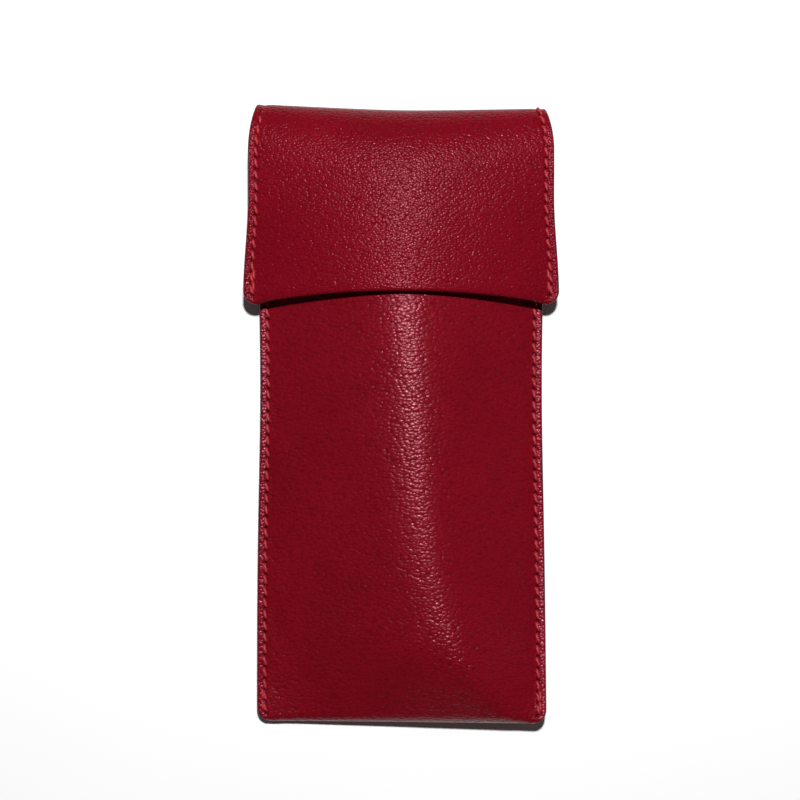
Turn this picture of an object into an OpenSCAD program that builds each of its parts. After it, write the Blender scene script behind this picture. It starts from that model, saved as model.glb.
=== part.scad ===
// Soft pouch glasses case: one leather strip folded at the bottom and sewn up both sides, lined and padded,
// with a wider fold-over flap that is held shut by a hidden pair of disc magnets.
// The case lies on its back: X is its width, +Y points to the flap's fold and +Z out of the front.

/* [Body] */
// Overall length, from the bottom fold to the flap's fold
case_len = 170; // [150:1:185]
// Half of the width over the painted seam edges
seam_half = 39.8; // [36:0.1:44]
// How far the side seams draw in beside the fullest part of the pouch
waist = 0.9; // [0:0.1:2]
// Height of the front ridge above the side seams
bulge_h = 14; // [11:0.5:17]
// Distance along Y from the middle of the case to the top of the ridge
bulge_y = -26; // [-35:1:0]
// How far the lower right corner curls up off the surface
corner_lift = 5; // [0:0.5:6]
// Share of the half width by which the ridge leans right at the bottom
ridge_drift = 0.26; // [0:0.02:0.4]
// Further share of the half width by which the ridge turns to the lower right corner
corner_drift = 0.5; // [0:0.05:0.6]
// Radius of the rounded lower corners
body_corner_r = 4.2; // [1:0.1:5]

/* [Flap] */
// Half width of the flap's front
flap_half = 41.7; // [40:0.1:44]
// How much wider each lower corner of the flap flares
flap_flare = 1.5; // [0:0.1:1.8]
// Height of the flap's lower side corners above the surface
flap_side_z = 10.5; // [9:0.5:13]
// Height of the flap's sides where the fold ends
fold_side_z = 13.2; // [12:0.2:15]
// Distance along Y from the middle of the case to the flap's lower side corners
flap_end_y = 29.8; // [26:0.2:34]
// Rise of the middle of the flap's lower edge
flap_arch = 3.4; // [2:0.1:5]
// Radius of the flap's lower corners
flap_corner_r = 3.8; // [2:0.1:5]
// How much lower the fold stands in the middle than at its left end, and again at its right end
fold_skew = 0.6; // [0:0.1:0.8]
// Distance along Y from the middle of the case to the end of the flap's tail on the back
tail_y = 49; // [48:0.5:54]

/* [Materials] */
// Thickness of the body leather
leather_t = 1.1; // [0.9:0.05:1.3]
// Thickness of the flap leather, which is folded double
flap_leather_t = 0.9; // [0.7:0.05:1]
// Thickness of the wadding in the body, and of the board with its wadding in the flap
padding_t = 1.4; // [1.4:0.05:1.6]
// Thickness of the lining
lining_t = 0.5; // [0.3:0.05:0.6]
// Thickness of the binding on the mouth's edge
binding_t = 0.6; // [0.4:0.05:0.7]
// Radius of the sewing thread
thread_r = 0.3; // [0.2:0.01:0.3]
// Distance from one stitch to the next
stitch_pitch = 3.2; // [2.8:0.1:4]
// Distance of the side stitching from the seam edge
stitch_inset = 2.2; // [1.8:0.1:2.4]

/* [Magnets] */
// Diameter of each disc magnet
magnet_d = 8; // [6:0.5:8]
// Thickness of each disc magnet
magnet_t = 0.8; // [0.6:0.1:0.8]
// Distance along Y from the middle of the case to the magnets
magnet_y = 42; // [38:0.5:44]

/* [Hidden] */

leather_colour = "#8a1222";
thread_colour = "#d21f3c";
foam_colour = "#d8cfc0";
steel_colour = "#b9bcc0";

half_len = case_len / 2;
glue = 0.05;              // gap that a glue film fills
film = 0.02;              // gap between pieces that only lie together
crease = 0.92;            // share of the half width where the panels leave the flat seam margin
crest_round = 0.28;       // roundness of the ridge, as a share of its half width
seam_t = 2 * (leather_t + glue + lining_t) + 0.2;   // four layers pressed together
curl_z = 0.8;             // height of the back's seam margins, which keeps their stitches off the surface
tail_z = 0.8;             // height of the tail, for the same reason
waist_y = 8;              // place and length of the waist along Y
waist_len = 38;
bottom_y = -58;           // where the front starts to curve down to the bottom fold
bottom_share = 0.08;      // height left of the ridge at the fold
low_share = 0.66;         // height of the ridge at the bottom without that curve, as a share of bulge_h
mouth_share = 0.62;       // the same at the end of the back
corner_squash = 0.8;      // width of the rounded lower corners as a share of their height
mouth_y = 67;             // top edge of the front panel at the sides
mouth_dip = 5;            // depth and width of the finger scoop in the middle of it
scoop = 0.42;
back_end_y = 75;          // top edge of the back panel, inside the flap's fold
facing_y = 68.4;          // lower edge of the facing inside the back, clear of the mouth
backed_z = tail_z + flap_leather_t + glue;          // height of the back panel where it lies on the tail
step_y = 31;              // where the back panel starts to rise onto the tail
step_len = 16;
lift_start_y = -30;       // where the corner starts to curl up
fit_gap = 0.4;            // clearance between the flap and the body
bind_gap = 0.15;          // gap between the binding and the layers inside it

// The flap's fold in the YZ plane, each as [at the sides, on the ridge]
fold_start_y = [76, 75.6];
fold_out_y = [half_len, half_len - 1.2];
fold_out_z = [6.9, 8.5];
fold_end_y = [72, 60];
fold_half = 39.6;         // half of the width at the outermost line of the fold
cut_back = -50;           // angles round the fold of the two hinge lines
cut_front = 8;
cut_gap = 1.2;            // half of the gap at each, as an angle

front_rows = 30;
turn_steps = 6;
flap_rows = 14;
v_steps = 16;
margin_columns = [1, 0.97, 0.94];
body_columns = columns(crease);
flap_columns = columns(0.92);

// --- small helpers ---
function clamp01(t) = max(0, min(1, t));
function smooth(t) = let (c = clamp01(t)) c * c * (3 - 2 * c);
function mix(a, b, t) = a + (b - a) * t;
function steps(a, b, n) = [for (i = [0 : n]) mix(a, b, i / n)];
function corner_in(d, r) = d >= r ? 0 : r - sqrt(r * r - pow(r - max(0, d), 2));
// Height of a rounded ridge: 1 at u = 0, falling to 0 at u = 1 with nearly straight sides
function ridge(u) = let (c = crest_round, top = sqrt(1 + c * c))
    clamp01((top - sqrt(u * u + c * c)) / (top - c));
function columns(edge) = concat(
    [for (m = margin_columns) -m],
    steps(-edge, edge, v_steps),
    [for (i = [len(margin_columns) - 1 : -1 : 0]) margin_columns[i]]
);

// --- body surface: v runs from -1 at the left seam edge to 1 at the right ---
function bulge(y) = y > bulge_y
    ? bulge_h * mix(1, mouth_share, pow((y - bulge_y) / (back_end_y - bulge_y), 2))
    : bulge_h * mix(1, low_share, pow((bulge_y - y) / (half_len + bulge_y), 2))
        * mix(1, bottom_share, pow(max(0, bottom_y - y) / (half_len + bottom_y), 2.4));
function body_edge(y) = seam_half - waist * exp(-pow((y - waist_y) / waist_len, 2))
    - corner_squash * corner_in(y + half_len, body_corner_r);
function lean(y) = let (t = clamp01((40 - y) / (half_len + 40))) ridge_drift * t + corner_drift * pow(t, 8);
function across(v, y) = let (r = lean(y)) v > r ? (v - r) / (crease - r) : (r - v) / (crease + r);
function lift(v, y) = corner_lift * pow((v + 1) / 2, 1.3)
    * pow(clamp01((lift_start_y - y) / (half_len + lift_start_y)), 1.5);
function back_rise(v, y) = let (curl = curl_z * smooth((abs(v) - 0.85) / 0.09))
    mix(curl, backed_z, smooth((y - step_y) / step_len));
function back_z(v, y) = lift(v, y) + back_rise(v, y);
function front_z(v, y) = lift(v, y) + seam_t + mix(back_rise(1, y), curl_z + bulge(y), ridge(across(v, y)));
function mouth_edge(v) = mouth_y - mouth_dip * exp(-pow(v / scoop, 2));
function turn_r(v) = (front_z(v, -half_len) - back_z(v, -half_len)) / 2;

// Outline of the body leather's outer face at v: down the front, round the bottom and up the back
function back_ys(low) = concat(steps(low, step_y, 5), [35, 39, 43, 47, 54, 61, facing_y, back_end_y]);
function body_path(v) = let (
        r = turn_r(v),
        low = -half_len + r
    ) concat(
        [for (y = steps(mouth_edge(v), low, front_rows)) [v * body_edge(y), y, front_z(v, y)]],
        [for (i = [1 : turn_steps - 1]) let (a = 180 * i / turn_steps, y = low - r * sin(a))
            [v * body_edge(y), y, mix(back_z(v, y), front_z(v, y), (1 + cos(a)) / 2)]],
        [for (y = back_ys(low)) [v * body_edge(y), y, back_z(v, y)]]
    );
back_row = front_rows + turn_steps;
last_row = back_row + len(back_ys(0)) - 1;

// --- paths and sheets ---
// Unit normal of a path in the YZ plane, on its inner side
function normal(d) = [0, -d.z, d.y] / norm([d.y, d.z]);
function inward(path, i) = normal(path[min(len(path) - 1, i + 1)] - path[max(0, i - 1)]);
function flatten(rows) = [for (row = rows) for (p = row) p];

// A solid sheet between two grids of points that have the same rows and columns
module sheet(outer, inner) {
    cols = len(outer[0]);
    rows = len(outer);
    base = rows * cols;
    skin = [for (j = [0 : rows - 2]) for (i = [0 : cols - 2]) let (p = j * cols + i)
        each [[p, p + cols, p + cols + 1], [p, p + cols + 1, p + 1]]];
    back = [for (f = skin) [f[2] + base, f[1] + base, f[0] + base]];
    ends = [for (j = [0 : rows - 2]) let (p = j * cols, q = p + cols - 1)
        each [[p, p + base, p + cols + base], [p, p + cols + base, p + cols],
              [q, q + cols, q + cols + base], [q, q + cols + base, q + base]]];
    sides = [for (i = [0 : cols - 2]) let (p = i, q = (rows - 1) * cols + i)
        each [[p, p + 1, p + 1 + base], [p, p + 1 + base, p + base],
              [q, q + base, q + 1 + base], [q, q + 1 + base, q + 1]]];
    polyhedron(concat(flatten(outer), flatten(inner)), concat(skin, back, ends, sides), convexity = 8);
}

// --- layers of the body, counted inward from the leather's outer face ---
function pad_room(v, y) = (front_z(v, y) - back_z(v, y) - seam_t) / 2;
function pad_at(v, y, i) = (i > 1 && i < front_rows) || (i > back_row && i < last_row)
    ? min(padding_t, max(0.15, pad_room(v, y))) * smooth((0.91 - abs(v)) / 0.12)
    : 0;
function lining_depth(v, y, i) = leather_t + glue + pad_at(v, y, i);
// Points of one layer over rows from to upto; depth is a function of v, y and the row
function body_layer(v, depth, from = 0, upto = last_row) = let (p = body_path(v))
    [for (i = [from : upto]) p[i] + depth(v, p[i].y, i) * inward(p, i)];
module body_sheet(list, outer, inner, from = 0, upto = last_row) {
    sheet([for (v = list) body_layer(v, outer, from, upto)],
        [for (v = list) body_layer(v, inner, from, upto)]);
}
pad_columns = [for (v = body_columns) if (abs(v) < 0.9) v];   // those between the seam margins
module pad_sheet(from, upto) {
    body_sheet(pad_columns, function (v, y, i) leather_t + film,
        function (v, y, i) lining_depth(v, y, i) - film, from, upto);
}

// --- threads ---
stitch_half = 1.15;       // half of a stitch's length along its row
slant = 0.28;             // how far each end leans across its row
thread_gap = 0.12;        // gap between a thread and the leather under it
stand_off = thread_r + thread_gap;

// One stitch from p to q: a round bar with tapered ends
module stitch(p, q) {
    d = q - p;
    h = norm(d) / 2;
    r = thread_r;
    translate((p + q) / 2)
        rotate([0, acos(d.z / norm(d)), atan2(d.y, d.x)])
            rotate_extrude($fn = 24)
                polygon([[0, -h], [0.6 * r, -h], [r, 0.4 * r - h], [r, h - 0.4 * r], [0.6 * r, h], [0, h]]);
}

// --- the body's own pieces ---
module body_leather() {
    color(leather_colour) body_sheet(body_columns, function (v, y, i) 0, function (v, y, i) leather_t);
}
module body_lining() {
    color("#6d6660") body_sheet(body_columns, function (v, y, i) lining_depth(v, y, i),
        function (v, y, i) lining_depth(v, y, i) + lining_t);
}
module front_padding() {
    color(foam_colour) difference() {
        pad_sheet(2, front_rows - 1);
        on_body(0) cylinder(d = magnet_d + 0.6, h = 12, center = true, $fn = 48);
    }
}
module back_padding() {
    color(foam_colour) pad_sheet(back_row + 1, last_row - 1);
}

// Binding folded over the front's top edge between the seams, round the leather and the lining
module mouth_binding() {
    faces = function (grow) [for (v = pad_columns) let (
            p = body_path(v),
            crown = [0, bind_gap + grow, 0],
            out = [for (i = [0, 1]) p[i] - (bind_gap + grow) * inward(p, i)],
            in = [for (i = [0, 1])
                p[i] + (lining_depth(v, p[i].y, i) + lining_t + bind_gap + grow) * inward(p, i)]
        ) [out[1], out[0], out[0] + crown, in[0] + crown, in[0], in[1]]];
    color("#7c0f1e") sheet(faces(binding_t), faces(0));
}

// Places things square to the front on the ridge, a depth below its outer face
module on_body(depth) {
    slope = atan((front_z(0, magnet_y + 2) - front_z(0, magnet_y - 2)) / 4);
    translate([0, magnet_y, front_z(0, magnet_y)]) rotate([slope, 0, 0]) translate([0, 0, -depth]) children();
}
module disc_magnet() {
    color(steel_colour) cylinder(d = magnet_d, h = magnet_t, center = true, $fn = 48);
}
ridge_sag = 0.38;         // drop of the ridge's inner face from the middle to the edge of a magnet
module body_magnet() {
    on_body(leather_t + ridge_sag + magnet_t / 2) disc_magnet();
}

// Front and back stitches of one side seam; the back's leave out the step beside the tail's end
seam_first_y = -81;
function seam_clear(y) = y < step_y - 2 || y > tail_y + stitch_half + 0.5;
module seam_stitches(side) {
    color(thread_colour) for (y = [seam_first_y : stitch_pitch : mouth_y - 7]) {
        x = side * (body_edge(y) - stitch_inset);
        v = x / body_edge(y);
        front = [for (s = [-1, 1]) let (py = y + s * stitch_half)
            [x - s * slant, py, front_z(v, py) + stand_off]];
        back = [for (s = [-1, 1]) let (py = y + s * stitch_half)
            [x + s * slant, py, (py > step_y ? tail_z : back_z(v, py)) - stand_off]];
        stitch(front[0], front[1]);
        if (seam_clear(y)) stitch(back[0], back[1]);
    }
}
module left_seam_stitches() seam_stitches(-1);
module right_seam_stitches() seam_stitches(1);

module mouth_stitches() {
    row_width = 57.6;
    down = 3.2;
    color(thread_colour) for (x = [-row_width / 2 : stitch_pitch : row_width / 2]) {
        ends = [for (s = [-1, 1]) let (
                px = x + s * stitch_half,
                v = px / body_edge(mouth_y),
                y = mouth_edge(v) - down
            ) [px, y, front_z(v, y) + bind_gap + binding_t + stand_off + 0.15]];
        stitch(ends[0], ends[1]);
    }
}

// Extra stitches beside the ends of the seams, where the machine runs back
module body_backtacks() {
    gap = 2 * thread_r + 0.12 + slant;
    color(thread_colour) for (side = [-1, 1], y0 = [seam_first_y, mouth_y - 11.5], n = [0, 1]) {
        y = y0 + 0.6 + n * stitch_pitch * 0.9;
        v = side * (body_edge(y) - stitch_inset + gap) / body_edge(y);
        ends = [for (s = [-0.8, 0.8]) let (py = y + s * stitch_half)
            [v * body_edge(y) - s * slant, py, front_z(v, py) + stand_off]];
        stitch(ends[0], ends[1]);
    }
}

// --- flap surface ---
flap_thin = 2 * flap_leather_t + glue;              // two layers of leather
flap_thick = flap_thin + padding_t;                 // and the board between them
function flap_k(v) = ridge(abs(v) / 0.93);          // 0 at the flap's sides and 1 on its crest
function bind_rise(y) = (bind_gap + binding_t + 2 * thread_r + 2 * thread_gap) * smooth((y - 30) / 30);
function crest_z(y) = let (t = min(fold_end_y[1], y)) front_z(0, t) + fit_gap + bind_rise(t) + flap_thick;
function flap_end(v) = flap_end_y + flap_arch * (1 - v * v);
function flap_edge(v, y) = flap_half + flap_flare * smooth((60 - y) / 28)
    - corner_in(y - flap_end(v), flap_corner_r);
function flap_z(v, y) = let (
        k = flap_k(v),
        t = (mix(fold_end_y[0], fold_end_y[1], k) - y) / (fold_end_y[0] - flap_end_y)
    ) mix(mix(fold_side_z, flap_side_z, smooth(t)), crest_z(y), k);
function flap_point(v, y) = [v * flap_edge(v, y), y, flap_z(v, y)];

// The fold's outer face at v: a from -90 at the end of the tail through 0 to 90 at the start of the front
function fold_point(v, a) = let (
        k = flap_k(v),
        out_y = mix(fold_out_y[0], fold_out_y[1], k) - fold_skew * (1 + v),
        out_z = mix(fold_out_z[0], fold_out_z[1], k),
        near = a < 0 ? fold_start_y : fold_end_y,
        near_y = mix(near[0], near[1], k),
        rise = a < 0 ? out_z - tail_z : mix(fold_side_z, crest_z(fold_end_y[1]), k) - out_z,
        half = a < 0
            ? mix(body_edge(tail_y), fold_half, 1 + a / 90)
            : mix(fold_half, flap_half, smooth(a / 90))
    ) [v * half, near_y + (out_y - near_y) * cos(a), out_z + rise * sin(a)];
function fold_layer(v, a, depth) = fold_point(v, a)
    + depth * normal(fold_point(v, a + 1) - fold_point(v, a - 1));

// --- the flap: its tail is sewn to the back, its bridge crosses the mouth, its front hangs over it ---
tail_angles = [-78, -64, cut_back - cut_gap];
function tail_layer(v, depth) = concat(
    [for (y = steps(tail_y, fold_start_y[1] - 1, 3)) [v * body_edge(y), y, tail_z + depth]],
    [for (a = tail_angles) fold_layer(v, a, depth)]);
module tail_leather() {
    color(leather_colour) sheet([for (v = flap_columns) tail_layer(v, 0)],
        [for (v = flap_columns) tail_layer(v, flap_leather_t)]);
}

// The inner end of the flap's doubled leather, sewn down inside the back of the mouth
function facing_layer(v, depth) = concat(
    body_layer(v, function (v, y, i) lining_depth(v, y, i) + lining_t + glue + depth, last_row - 1, last_row),
    [for (a = [-70, cut_back - cut_gap]) fold_layer(v, a, flap_leather_t + glue + depth)]);
module tail_facing() {
    color(leather_colour) sheet([for (v = flap_columns) facing_layer(v, 0)],
        [for (v = flap_columns) facing_layer(v, flap_leather_t)]);
}

// Two rows across the back hold the tail
module tail_stitches() {
    row_width = 67.2;
    color(thread_colour) for (x = [-row_width / 2 : stitch_pitch : row_width / 2], y = [tail_y + 2.2, 71]) {
        z = tail_z - stand_off;
        stitch([x - stitch_half, y + slant, z], [x + stitch_half, y - slant, z]);
    }
}

module bridge_sheet(depth) {
    angles = steps(cut_back + cut_gap, cut_front - cut_gap, 6);
    color(leather_colour) sheet([for (v = flap_columns) [for (a = angles) fold_layer(v, a, depth)]],
        [for (v = flap_columns) [for (a = angles) fold_layer(v, a, depth + flap_leather_t)]]);
}
module bridge_leather() bridge_sheet(0);
module bridge_facing() bridge_sheet(flap_leather_t + glue);

// A stitch round the fold, centred at angle a
flap_stitch_v = 1 - stitch_inset / flap_half;
module fold_stitch(side, a, half_a) {
    v = side * flap_stitch_v;
    ends = [for (s = [-1, 1]) fold_layer(v, a + s * half_a, -stand_off - 0.15) + [s * slant, 0, 0]];
    stitch(ends[0], ends[1]);
}
module bridge_stitches() {
    color(thread_colour) for (side = [-1, 1], a = [-32, -12]) fold_stitch(side, a, 7);
}

// The flap's front: one piece of leather folded at the lower edge, both its face and its facing
edge_turn = 4;
front_angles = steps(cut_front + cut_gap, 90, 6);
fold_rows = len(front_angles) - 1;
end_row = fold_rows + flap_rows;
board_rows = [fold_rows + 3, end_row - 1];
function flap_run(v) = concat(
    [for (a = front_angles) fold_point(v, a)],
    [for (i = [1 : flap_rows]) flap_point(v,
        mix(fold_point(v, 90).y, flap_end(v) + flap_thin / 2, i / flap_rows))]);
function flap_normal(v, run, i) = i == 0
    ? fold_layer(v, front_angles[0], 1) - fold_point(v, front_angles[0])
    : inward(run, i);
function board_at(v, i) = i >= board_rows[0] && i <= board_rows[1]
    ? padding_t * smooth((0.955 - abs(v)) / 0.06)
    : 0;
function flap_face(v, depth) = let (run = flap_run(v))
    [for (i = [0 : end_row]) run[i] + depth * flap_normal(v, run, i)];
function flap_facing(v, up) = let (run = flap_run(v))
    [for (i = [0 : end_row]) run[i] + (flap_thin + board_at(v, i) - up) * flap_normal(v, run, i)];
function flap_wrap(v, depth) = let (
        face = flap_face(v, depth),
        facing = flap_facing(v, depth),
        c = flap_face(v, flap_thin / 2)[end_row],
        r = flap_thin / 2 - depth
    ) concat(
        face,
        [for (i = [1 : edge_turn - 1]) let (a = 180 * i / edge_turn)
            [v * flap_edge(v, c.y - r * sin(a)), c.y - r * sin(a), c.z + r * cos(a)]],
        [for (i = [end_row : -1 : 0]) facing[i]]);
module flap_leather() {
    color(leather_colour) sheet([for (v = flap_columns) flap_wrap(v, 0)],
        [for (v = flap_columns) flap_wrap(v, flap_leather_t)]);
}

function board_layer(v, points) = [for (i = [board_rows[0] : board_rows[1]]) points[i]];
module flap_board() {
    list = [for (v = flap_columns) if (abs(v) < 0.93) v];
    color("#b59f80") difference() {
        sheet([for (v = list) board_layer(v, flap_face(v, flap_leather_t + glue))],
            [for (v = list) board_layer(v, flap_facing(v, flap_leather_t + glue))]);
        on_flap(0) cylinder(d = magnet_d + 0.6, h = 12, center = true, $fn = 48);
    }
}
module on_flap(depth) {
    slope = atan((flap_z(0, magnet_y + 2) - flap_z(0, magnet_y - 2)) / 4);
    translate([0, magnet_y, flap_z(0, magnet_y)]) rotate([slope, 0, 0]) translate([0, 0, -depth]) children();
}
module flap_magnet() {
    on_flap(flap_leather_t + ridge_sag + magnet_t / 2) disc_magnet();
}

flap_first_y = flap_end_y + 4.4;
module flap_stitches(side) {
    color(thread_colour) {
        for (y = [flap_first_y : stitch_pitch : fold_end_y[0] - 1]) {
            ends = [for (s = [-1, 1]) flap_point(side * flap_stitch_v, y + s * stitch_half)
                + [-s * slant, 0, stand_off + 0.05]];
            stitch(ends[0], ends[1]);
        }
        for (a = [24, 44, 62, 79]) fold_stitch(side, a, 5.5);
    }
}
module flap_left_stitches() flap_stitches(-1);
module flap_right_stitches() flap_stitches(1);
module flap_backtacks() {
    gap = 2 * thread_r + 0.12 + slant;
    color(thread_colour) for (side = [-1, 1], n = [0, 1]) {
        y = flap_first_y + 0.9 + n * stitch_pitch * 0.9;
        ends = [for (s = [-0.8, 0.8]) flap_point(side * flap_stitch_v, y + s * stitch_half)
            + [side * gap - s * slant, 0, stand_off + 0.05]];
        stitch(ends[0], ends[1]);
    }
}

body_leather();
front_padding();
back_padding();
body_lining();
mouth_binding();
body_magnet();
left_seam_stitches();
right_seam_stitches();
mouth_stitches();
body_backtacks();
tail_leather();
tail_facing();
tail_stitches();
bridge_leather();
bridge_facing();
bridge_stitches();
flap_leather();
flap_board();
flap_magnet();
flap_left_stitches();
flap_right_stitches();
flap_backtacks();
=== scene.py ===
"""Looks of a soft leather pouch case for glasses, lying on its back with its flap closed.

Shapes are in millimetres until MM turns them into metres; materials, light and camera are in metres.
X is the case's width, +Y points to the flap's fold and +Z out of the front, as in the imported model.
"""

import bpy
import numpy as np
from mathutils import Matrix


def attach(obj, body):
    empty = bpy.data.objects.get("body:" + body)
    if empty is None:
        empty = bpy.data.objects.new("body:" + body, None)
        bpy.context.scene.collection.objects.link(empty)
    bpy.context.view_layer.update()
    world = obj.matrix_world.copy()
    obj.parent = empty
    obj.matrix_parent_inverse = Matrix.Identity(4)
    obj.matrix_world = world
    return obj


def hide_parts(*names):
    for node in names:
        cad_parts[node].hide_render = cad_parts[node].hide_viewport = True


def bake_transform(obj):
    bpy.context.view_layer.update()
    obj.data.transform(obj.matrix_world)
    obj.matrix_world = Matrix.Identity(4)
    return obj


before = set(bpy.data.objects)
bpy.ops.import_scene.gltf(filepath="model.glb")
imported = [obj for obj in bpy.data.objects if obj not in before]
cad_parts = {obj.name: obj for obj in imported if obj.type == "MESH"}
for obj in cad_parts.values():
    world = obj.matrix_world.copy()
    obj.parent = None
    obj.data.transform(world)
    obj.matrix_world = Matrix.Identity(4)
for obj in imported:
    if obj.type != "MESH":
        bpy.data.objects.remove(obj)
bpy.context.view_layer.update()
MM = 0.001

# --- driving dimensions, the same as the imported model's ---
HALF_LEN = 85.0
SEAM_HALF = 39.8
WAIST, WAIST_Y, WAIST_LEN = 0.9, 8.0, 38.0
BULGE_H, BULGE_Y = 14.0, -26.0
BOTTOM_Y, BOTTOM_SHARE, LOW_SHARE, MOUTH_SHARE = -58.0, 0.08, 0.66, 0.62
CREASE, CREST_ROUND = 0.92, 0.28
CORNER_LIFT, LIFT_START_Y = 5.0, -30.0
RIDGE_DRIFT, CORNER_DRIFT, DRIFT_START_Y = 0.26, 0.5, 40.0
BODY_CORNER_R, CORNER_SQUASH = 4.2, 0.8
LEATHER_T, LINING_T, PADDING_T, FLAP_LEATHER_T, BINDING_T = 1.1, 0.5, 1.4, 0.9, 0.6
GLUE, BIND_GAP = 0.05, 0.15
SEAM_T = 2 * (LEATHER_T + GLUE + LINING_T) + 0.2
CURL_Z, CURL_FROM, CURL_SPAN, TAIL_Z = 0.8, 0.85, 0.09, 0.8
BACKED_Z = TAIL_Z + FLAP_LEATHER_T + GLUE
STEP_Y, STEP_LEN = 31.0, 16.0
MOUTH_Y, MOUTH_DIP, SCOOP = 67.0, 5.0, 0.42
BACK_END_Y, FACING_Y, TAIL_Y = 75.0, 68.4, 49.0
FIT_GAP = 0.4
THREAD_R, THREAD_GAP = 0.3, 0.12
STITCH_PITCH, STITCH_INSET = 3.2, 2.2

FLAP_HALF, FLAP_FLARE, FOLD_HALF = 41.7, 1.5, 39.6
FLAP_SIDE_Z, FOLD_SIDE_Z, FLAP_CREASE = 10.5, 13.2, 0.93
FLARE_START_Y, FLARE_LEN = 60.0, 28.0
BIND_RISE_Y, BIND_RISE_LEN = 30.0, 30.0
FLAP_END_Y, FLAP_ARCH, FLAP_CORNER_R, FOLD_SKEW = 29.8, 3.4, 3.8, 0.6
FOLD_START_Y, FOLD_END_Y = (76.0, 75.6), (72.0, 60.0)
FOLD_OUT_Y, FOLD_OUT_Z = (85.0, 83.8), (6.9, 8.5)
FLAP_THIN = 2 * FLAP_LEATHER_T + GLUE
FLAP_THICK = FLAP_THIN + PADDING_T

# --- dimensions of the looks alone ---
SPLIT_ANGLE = -20.0       # where the flap's back and front pieces meet, on the bridge between the hinges
BINDING_LEN = 5.0         # how far the binding reaches down each side of the mouth's edge
PANEL_HALF = 39.0         # near the body's half width, to space columns and to measure to the side edges
WAVE_HALF, WAVE_H = 38.0, 0.16   # half width that the waves of the leather are laid out on, and their height
ROUND_SHARE = 0.46        # how much of a sheet's thickness its rounded edge takes from each face
RIDGE_EASE = 0.035        # height over which the ridge's foot is rounded off
PAD_MIN = 0.15            # room that is kept for the wadding where the pouch is flat
PAD_EDGE_V, PAD_EASE_V = 0.91, 0.12
PAD_START_Y = -81.0       # where the room for the wadding begins at the bottom


# --- small helpers ---
def clamp01(t):
    return np.clip(t, 0.0, 1.0)


def smooth(t):
    c = clamp01(t)
    return c * c * (3 - 2 * c)


def mix(a, b, t):
    return a + (b - a) * t


def corner_in(d, r):
    """How far a rounded edge of radius r has drawn in at a distance d from the edge."""
    return r - np.sqrt(np.maximum(r * r - (r - np.clip(d, 0, r)) ** 2, 0))


def ridge(u):
    """Height of the rounded ridge: 1 at u = 0, and eased to 0 past u = 1, where it rolls into the margin."""
    top = np.sqrt(1 + CREST_ROUND ** 2)
    raw = (top - np.sqrt(u * u + CREST_ROUND ** 2)) / (top - CREST_ROUND)
    return np.minimum(0.5 * (raw + np.sqrt(raw * raw + RIDGE_EASE * RIDGE_EASE)), 1)


def bump(d, width):
    """A bell curve of height 1."""
    return np.exp(-(d / width) ** 2)


# --- the body's surface; v runs from -1 at the left seam edge to 1 at the right ---
def bulge(y):
    """Height of the ridge: lower towards the mouth and the bottom, and nearly flat at the bottom's edge."""
    high = mix(1, MOUTH_SHARE, np.maximum((y - BULGE_Y) / (BACK_END_Y - BULGE_Y), 0) ** 2)
    low = mix(1, LOW_SHARE, np.maximum((BULGE_Y - y) / (HALF_LEN + BULGE_Y), 0) ** 2)
    end = mix(1, BOTTOM_SHARE, np.maximum((BOTTOM_Y - y) / (HALF_LEN + BOTTOM_Y), 0) ** 2.4)
    return BULGE_H * high * low * end


def body_edge(y):
    """Half width of the body, with its slight waist and its rounded bottom corners."""
    waist = WAIST * bump(y - WAIST_Y, WAIST_LEN)
    return SEAM_HALF - waist - CORNER_SQUASH * corner_in(y + HALF_LEN, BODY_CORNER_R)


def across(v, y):
    """0 on the ridge and 1 at the seam margins. The ridge drifts to the right on its way to the bottom."""
    t = clamp01((DRIFT_START_Y - y) / (HALF_LEN + DRIFT_START_Y))
    lean = RIDGE_DRIFT * t + CORNER_DRIFT * t ** 8
    return np.where(v > lean, (v - lean) / (CREASE - lean), (lean - v) / (CREASE + lean))


def lift(v, y):
    """How far the body is off the table where its bottom right corner turns up."""
    down = clamp01((LIFT_START_Y - y) / (HALF_LEN + LIFT_START_Y))
    return CORNER_LIFT * ((v + 1) / 2) ** 1.3 * down ** 1.5


def back_rise(v, y):
    """Height of the back: curled up a little at its sides, and lying on the flap's tail at the top."""
    curl = CURL_Z * smooth((np.abs(v) - CURL_FROM) / CURL_SPAN)
    return mix(curl, BACKED_Z, smooth((y - STEP_Y) / STEP_LEN))


def back_z(v, y):
    return lift(v, y) + back_rise(v, y)


def slack(v, y):
    """The small waves of leather that has been used: long ones over the panel and short ones by the seams."""
    x = v * WAVE_HALF
    wide = WAVE_H * np.sin(x / 6.1 + 1.4 * np.sin(y / 23)) * np.sin(y / 13.5 + 0.8 * np.sin(x / 17))
    edge = (1 - np.abs(v)) * WAVE_HALF
    puckers = WAVE_H * bump(edge - 5.2, 2.6) * (np.sin(y / 2.9 + v) + 0.6 * np.sin(y / 4.7 + 2 * v))
    return wide * smooth((edge - 4) / 8) + puckers


def front_z(v, y):
    return lift(v, y) + SEAM_T + mix(back_rise(1, y), CURL_Z + bulge(y), ridge(across(v, y))) + slack(v, y)


def mouth_edge(v):
    """Top edge of the front, scooped in the middle."""
    return MOUTH_Y - MOUTH_DIP * bump(v, SCOOP)


# --- the flap's surface ---
def flap_k(v):
    """0 at the flap's sides and 1 on its crest."""
    return ridge(np.abs(v) / FLAP_CREASE)


def bind_rise(y):
    """Room that the flap leaves for the binding and its thread."""
    room = BIND_GAP + BINDING_T + 2 * THREAD_R + 2 * THREAD_GAP
    return room * smooth((y - BIND_RISE_Y) / BIND_RISE_LEN)


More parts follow.
